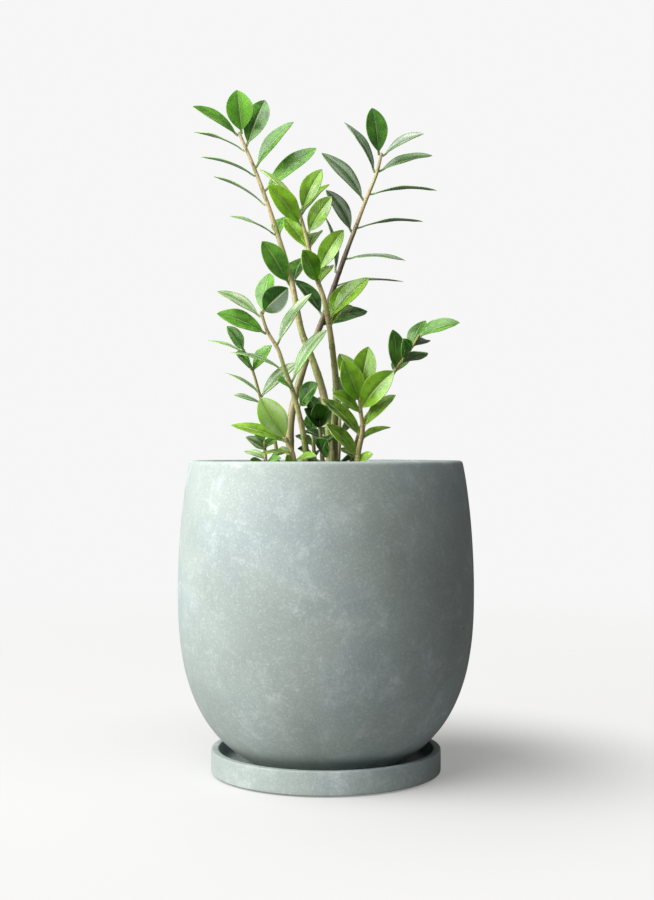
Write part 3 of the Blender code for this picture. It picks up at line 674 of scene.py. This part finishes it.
def make_leaf(master, shoot, place, letter, name, joined):
    """One fine leaf over a solid one: folded, grooved at the midrib, wavy and a little curled."""
    height, right, back, up, width, tilt = place
    joint = stem_centre(shoot, height)
    tip = joint + Vector((right, back, up))
    way = stem_direction(shoot, height)
    outwards = tip - joint
    outwards = (outwards - way * outwards.dot(way)).normalized()
    radius = stem_radius(shoot, height)
    root = joint.copy() if joined else joint + outwards * (radius + STALK_RADIUS + GAP)
    along, across, face = leaf_frame(root, tip, tilt)
    length = (tip - root).length

    leaf = copy_of(master, name)
    flat = numbers_of(leaf.data.vertices, "co")
    u, v = (flat[:, 0] + 1) / 2, flat[:, 1]
    v = np.sign(v) * np.abs(v) ** 1.2
    start = 0.4 * radius / length if joined else -(radius * 0.7 + STALK_RADIUS) / length
    t = start + (1 - start) * (1 - (1 - u) ** 1.15)
    s = np.clip((t - STALK_SHARE) / (1 - STALK_SHARE), 1e-6, 1 - 1e-6)
    half = np.hypot(width / 2 * blade_share(s), STALK_RADIUS * np.clip((1 - s) / 0.3, 0.1, 1))
    stalk = np.clip(1 - s / 0.06, 0, 1)

    flat_on = 1.0 if tilt < EDGE_ON_TILT else 0.35      # edge-on leaves stay flatter
    twist = math.radians(rng.uniform(-10, 10)) * flat_on
    curl, sway = rng.uniform(0.0, 0.035) * length, rng.uniform(-0.025, 0.025) * length
    ruffle, phase = rng.uniform(0.15, 0.6), rng.uniform(0, 2 * math.pi)
    fold = LEAF_FOLD * rng.uniform(0.9, 1.6) * flat_on
    lift = fold * (np.sqrt(v * v + 0.006) - math.sqrt(0.006)) * half
    lift += (1 - stalk) * (1 - s**6) * (0.14 * np.exp(-((np.abs(v) - 0.2) / 0.1) ** 2)
                                        - 0.26 * np.exp(-(v / 0.07) ** 2))
    side_veins = np.sin(2 * math.pi * (12.5 * s - 3.2 * np.abs(v)))
    lift += 0.06 * side_veins * 4 * np.abs(v) * (1 - np.abs(v))
    wave = np.sin(10 * s + phase + 1.3 * np.sign(v)) * np.sin(math.pi * s)
    lift += ruffle * np.abs(v) ** 3 * wave
    lift -= curl * s**3
    turn = twist * (s - 0.4)
    side = np.cos(turn)[:, None] * across + np.sin(turn)[:, None] * face
    upper = np.cos(turn)[:, None] * face - np.sin(turn)[:, None] * across
    arch = np.where(t > 0, np.sin(math.pi * np.clip(t, 0, 1)), math.pi * t)
    centre = (np.array(root) + along * (length * t)[:, None]
              + face * (length * LEAF_ARCH * arch)[:, None]
              + across * (sway * np.sin(math.pi * s) * s)[:, None])
    move_points(leaf.data, to_frame(centre + side * (half * v)[:, None] + upper * lift[:, None]))

    group = leaf.vertex_groups.new(name="thickness")
    thin = BLADE_THICKNESS / STALK_THICKNESS
    weights = thin + (1 - thin) * stalk * (1 - 0.6 * v**4)
    weights *= np.clip((1 - s) / 0.12, 0.45, 1)
    for index, weight in enumerate(weights):
        group.add([index], float(weight), "REPLACE")
    if float((numbers_of(leaf.data.polygons, "normal") @ face).mean()) < 0:
        leaf.data.flip_normals()
    apply_modifier(leaf, "SOLIDIFY", thickness=STALK_THICKNESS * MM, offset=-1.0,
                   vertex_group="thickness")
    leaf.vertex_groups.clear()

    below = numbers_of(leaf.data.polygons, "normal") @ face < -0.3
    count = len(leaf.data.vertices)
    add_values(leaf.data, "underside", "FACE", below.astype(float))
    # A leaf's tone is partly its own colour and partly painted light and shade; a capital's bloom is
    # partly a painted reflection.
    tone = (ord(letter.lower()) - ord("a")) / 9
    bloom = SILVERY_BLOOM_AND_SHEEN if letter.isupper() else 0.0
    add_values(leaf.data, "tone", "POINT", np.full(count, tone))
    add_values(leaf.data, "bloom", "POINT", np.full(count, bloom))
    shade(leaf, 48)
    return leaf


# ---------------------------------------------------------------- stems

def stem_master():
    """A straight closed tube of many rings, z from 0 to 1 and radius 1."""
    deselect()
    bpy.ops.mesh.primitive_circle_add(vertices=STEM_SIDES, radius=1.0, fill_type="NGON")
    master = bpy.context.object
    master.name = "stem_master"
    bpy.ops.object.mode_set(mode="EDIT")
    bpy.ops.mesh.select_all(action="SELECT")
    for _ in range(STEM_RINGS):
        bpy.ops.mesh.extrude_region_move(TRANSFORM_OT_translate={"value": (0, 0, 1 / STEM_RINGS)})
    bpy.ops.mesh.select_all(action="SELECT")
    bpy.ops.mesh.normals_make_consistent(inside=False)
    bpy.ops.object.mode_set(mode="OBJECT")
    return master


def make_stem(master, shoot, name):
    """A tapered stem on its centre line, swollen and scarred where leaves join or once did."""
    low, high = -STEM_BURIED, shoot["stem"][-1][2] + 1.2 * shoot["radii"][1]
    joints = sorted({leaf[0] for leaf in shoot["separate"] + shoot["joined"]})
    scars, height = [], 5.0
    while height < joints[0] - 8:
        scars.append(height)
        height += rng.uniform(15, 24)
    marks = np.array(scars + joints)
    tilts = rng.uniform(-0.25, 0.25, len(marks))
    turns = rng.uniform(0, 2 * math.pi, len(marks))

    grid = np.linspace(low, high, 2000)
    density = 1 + 5 * np.exp(-((grid[:, None] - marks) / 2.5) ** 2).max(axis=1)
    total = np.cumsum(density)
    total = (total - total[0]) / (total[-1] - total[0])

    stem = copy_of(master, name)
    flat = numbers_of(stem.data.vertices, "co")
    angle = np.arctan2(flat[:, 1], flat[:, 0])
    coords = np.empty_like(flat)
    ring, tan, brown = np.zeros(len(flat)), np.zeros(len(flat)), np.zeros(len(flat))
    rows = np.rint(flat[:, 2] * STEM_RINGS).astype(int)
    for row in range(STEM_RINGS + 1):
        chosen = rows == row
        height = float(np.interp(row / STEM_RINGS, total, grid))
        along = stem_direction(shoot, height)
        across = along.cross(Vector((0, 1, 0))).normalized()
        other = np.array(along.cross(across))
        across = np.array(across)
        turn = angle[chosen]
        radius = stem_radius(shoot, height)
        skew = tilts * radius * np.cos(turn[:, None] - turns)
        away = height - marks - skew
        grown = 1 + 0.06 * np.exp(-((away + 0.6) / 2.2) ** 2).max(axis=1)
        grown -= 0.07 * np.exp(-((away - 0.9) / 0.7) ** 2).max(axis=1)
        grown += 0.03 * np.sin(3 * turn + height / 9) + 0.02 * math.sin(height / 5)
        close = max(0.0, (height - shoot["stem"][-1][2]) / (1.2 * shoot["radii"][1]))
        size = radius * math.sqrt(max(0.0, 1 - close**2)) + 0.02
        offset = across * np.cos(turn)[:, None] + other * np.sin(turn)[:, None]
        coords[chosen] = np.array(stem_centre(shoot, height)) + offset * (size * grown)[:, None]
        ring[chosen] = np.exp(-((away - 0.9) / 0.8) ** 2).max(axis=1)
        share = min(max(height / shoot["stem"][-1][2], 0), 1)
        tan[chosen] = shoot["tan"][0] + (shoot["tan"][1] - shoot["tan"][0]) * share ** 1.5
        brown[chosen] = np.interp(share, (0.35, 0.52, 0.7, 0.82),
                                  np.repeat(shoot["brown"], (1, 2, 1)))
    move_points(stem.data, to_frame(coords))
    for key, values in (("ring", ring), ("tan", tan), ("brown", brown)):
        add_values(stem.data, key, "POINT", values)
    edit_all(stem, face_outwards)
    shade(stem, 60)
    return stem


# ---------------------------------------------------------------- pot, saucer and soil

def make_turned(node, unevenness):
    """The pot or the saucer, rounder than its solid and very slightly uneven."""
    piece = copy_of(nodes[node], node + "_fine")
    edit_all(piece, merge_points, to_quads)
    apply_modifier(piece, "SUBSURF", levels=2, render_levels=2)
    coords = numbers_of(piece.data.vertices, "co")
    waves = np.array([noise.noise(Vector(c) * 14.0) + 0.4 * noise.noise(Vector(c) * 45.0)
                      for c in coords])
    normals = numbers_of(piece.data.vertices, "normal")
    move_points(piece.data, coords + normals * (waves * unevenness)[:, None])
    shade(piece, 50)
    return piece


def make_soil_top():
    """Loose compost: a lumpy disc just above the solid soil, raised a little at the wall."""
    rings = 64
    deselect()
    bpy.ops.mesh.primitive_circle_add(vertices=180, radius=SOIL_RADIUS,
                                      location=(0, 0, SOIL_TOP))
    soil = bpy.context.object
    soil.name = "soil_fine"
    bpy.ops.object.mode_set(mode="EDIT")
    bpy.ops.mesh.select_all(action="SELECT")
    for i in range(rings - 1):
        bpy.ops.mesh.extrude_region_move()
        share = (rings - 1 - i) / (rings - i)
        bpy.ops.transform.resize(value=(share, share, 1))
    bpy.ops.mesh.extrude_region_move()
    bpy.ops.mesh.merge(type="CENTER")
    bpy.ops.object.mode_set(mode="OBJECT")
    bpy.ops.object.transform_apply(location=True)
    coords = numbers_of(soil.data.vertices, "co")
    for co in coords:
        spot = Vector((co[0], co[1], 0.0))
        out = math.hypot(co[0], co[1]) / SOIL_RADIUS
        lumps = (0.0022 * noise.fractal(spot * 55.0, 0.9, 2.1, 5)
                 + 0.0010 * noise.fractal(spot * 240.0, 0.7, 2.0, 3))
        co[2] = SOIL_TOP - SOIL_CROWN * out * out + lumps + 0.0008 + 0.03 * max(0.0, out - 0.93)
    move_points(soil.data, coords)
    edit_all(soil, face_outwards)
    apply_modifier(soil, "SOLIDIFY", thickness=0.012, offset=-1.0)
    shade(soil, 60)
    return soil


def scatter(count, size, name, lift):
    """Crumbs lying on the soil: one rough pebble, copied, turned and sized."""
    deselect()
    bpy.ops.mesh.primitive_ico_sphere_add(subdivisions=2, radius=1.0)
    seed = bpy.context.object
    shape = numbers_of(seed.data.vertices, "co")
    shape *= np.array([1 + 0.35 * noise.noise(Vector(p) * 1.7) for p in shape])[:, None]
    crumbs = []
    for _ in range(count):
        crumb = copy_of(seed, "crumb")
        radius = CRUMB_SPREAD * math.sqrt(rng.uniform(0, 1))
        angle = rng.uniform(0, 2 * math.pi)
        turned = shape @ np.linalg.qr(rng.normal(size=(3, 3)))[0]
        place = np.array((radius * math.cos(angle), radius * math.sin(angle),
                          SOIL_TOP - SOIL_CROWN * (radius / CRUMB_SPREAD) ** 2 + lift))
        move_points(crumb.data, turned * size * rng.uniform(0.5, 1.3) * (1.0, 1.0, 0.7) + place)
        crumbs.append(crumb)
    bpy.data.objects.remove(seed)
    scattered = join(crumbs, name)
    edit_all(scattered, face_outwards)
    shade(scattered, 40)
    return scattered


# ---------------------------------------------------------------- assembly

def build_plant(looks):
    blank_leaf, blank_stem = leaf_master(), stem_master()
    for name, shoot in SHOOTS.items():
        slot = "leaf_" + shoot["tone"]
        separate = len(shoot["separate"])
        joined_leaves = []
        places = shoot["separate"] + shoot["joined"]
        for i, (place, letter) in enumerate(zip(places, shoot["shades"], strict=True)):
            node = f"{name}_leaf_{i + 1:02d}"
            leaf = make_leaf(blank_leaf, shoot, place, letter, node + "_fine", i >= separate)
            if i < separate:
                finish_piece(leaf, looks[slot], (node,))
            else:
                joined_leaves.append(leaf)
        if joined_leaves:
            finish_piece(join(joined_leaves, f"{name}_low_leaves"), looks[slot])
        node = f"{name}_stem" if name in TALL_SHOOTS else f"{name}_shoot"
        finish_piece(make_stem(blank_stem, shoot, node + "_fine"), looks["stem"], (node,))
    bpy.data.objects.remove(blank_leaf)
    bpy.data.objects.remove(blank_stem)


def build_pot(looks):
    finish_piece(make_turned("pot", POT_UNEVENNESS), looks["cement"], ("pot",))
    finish_piece(make_turned("saucer", SAUCER_UNEVENNESS), looks["cement"], ("saucer",))
    finish_piece(make_soil_top(), looks["soil"], ("soil",))
    finish_piece(scatter(330, 0.0024, "soil_crumbs", 0.0012), looks["bark"])
    finish_piece(scatter(60, 0.0014, "soil_grit", 0.0018), looks["grit"])
    for i in (1, 2, 3):
        nodes[f"foot_pad_{i}"].data.materials[0] = looks["pad"]


def build_looks():
    veins = leaf_group()
    return {
        "cement": cement_material(cement_group()),
        "leaf_green": leaf_material("leaf_green", veins, 0.1, (0.015, 0.058, 0.008),
                                    (0.17, 0.45, 0.040), (0.26, 0.33, 0.20), (0.34, 0.48, 0.16),
                                    (0.60, 0.64, 0.52)),
        "leaf_dark": leaf_material("leaf_dark", veins, 0.15, (0.006, 0.036, 0.006), (0.10, 0.29, 0.030),
                                   (0.20, 0.25, 0.17), (0.24, 0.36, 0.12), (0.40, 0.44, 0.38)),
        "leaf_bright": leaf_material("leaf_bright", veins, 0.25, (0.046, 0.098, 0.005),
                                     (0.27, 0.54, 0.022), (0.30, 0.38, 0.18), (0.42, 0.54, 0.18),
                                     (0.45, 0.52, 0.34)),
        "stem": stem_material(),
        "soil": soil_material("soil", (0.012, 0.008, 0.006), (0.05, 0.034, 0.024)),
        "bark": soil_material("bark", (0.03, 0.018, 0.011), (0.11, 0.07, 0.045)),
        "grit": soil_material("grit", (0.30, 0.28, 0.25), (0.55, 0.53, 0.50)),
        "pad": pad_material(),
    }


# ---------------------------------------------------------------- studio

def build_studio():
    deselect()
    bpy.ops.mesh.primitive_plane_add(size=FLOOR_SIZE, location=(0, 0, 0))
    floor = bpy.context.object
    floor.name = "floor"
    material, tree, shader = new_material("floor", Roughness=0.9, Specular_IOR_Level=0.1)
    shader.inputs["Emission Color"].default_value = (1.0, 0.995, 0.98, 1)
    seen = add(tree, "LightPath").outputs["Is Camera Ray"]
    coords = add(tree, "TexCoord").outputs["Object"]
    distance = add(tree, "VectorMath", {0: coords}, operation="LENGTH").outputs["Value"]
    # Painted light: away from the pot the floor's own colour darkens and a glow only the camera sees
    # takes over, so the floor stays white and the pot's shadow stays short.
    glow = math_node(tree, "MULTIPLY", seen,
                     ramp(tree, distance, FLOOR_NEAR, FLOOR_FAR, 0.26, 0.82))
    tree.links.new(mix_colour(tree, ramp(tree, distance, FLOOR_NEAR, FLOOR_FAR),
                              (0.37, 0.37, 0.366), (0.06, 0.06, 0.06)),
                   shader.inputs["Base Color"])
    tree.links.new(glow, shader.inputs["Emission Strength"])
    tree.links.new(ramp(tree, distance, 0.55, 1.9, 1.0, 0.0), shader.inputs["Alpha"])
    floor.data.materials.append(material)

    world = bpy.data.worlds.new("studio")
    bpy.context.scene.world = world
    world.use_nodes = True
    tree = world.node_tree
    tree.nodes.clear()
    seen = add(tree, "Background", {"Color": (0.925, 0.925, 0.925, 1), "Strength": 1.0})
    lit = add(tree, "Background", {"Color": (0.97, 0.98, 1.0, 1), "Strength": 0.21})
    path = add(tree, "LightPath")
    choice = add(tree, "MixShader", {0: path.outputs["Is Camera Ray"], 1: lit.outputs[0],
                                     2: seen.outputs[0]})
    out = add(tree, "OutputWorld")
    tree.links.new(choice.outputs[0], out.inputs["Surface"])

    for name, place, power, size, target in LAMPS:
        lamp = bpy.data.lights.new(name, "AREA")
        lamp.energy = power
        lamp.size = size
        holder = bpy.data.objects.new(name, lamp)
        holder.location = place
        holder.rotation_euler = (Vector(target) - Vector(place)).to_track_quat("-Z", "Y").to_euler()
        bpy.context.scene.collection.objects.link(holder)

    camera = bpy.data.objects.new("camera", bpy.data.cameras.new("camera"))
    camera.location = CAMERA_PLACE
    camera.rotation_euler = (math.radians(90), 0, 0)
    camera.data.lens = CAMERA_LENS
    camera.data.sensor_width = 36.0
    bpy.context.scene.collection.objects.link(camera)
    bpy.context.scene.camera = camera
    bpy.context.scene.view_settings.view_transform = "Standard"


looks = build_looks()
build_pot(looks)
build_plant(looks)
build_studio()
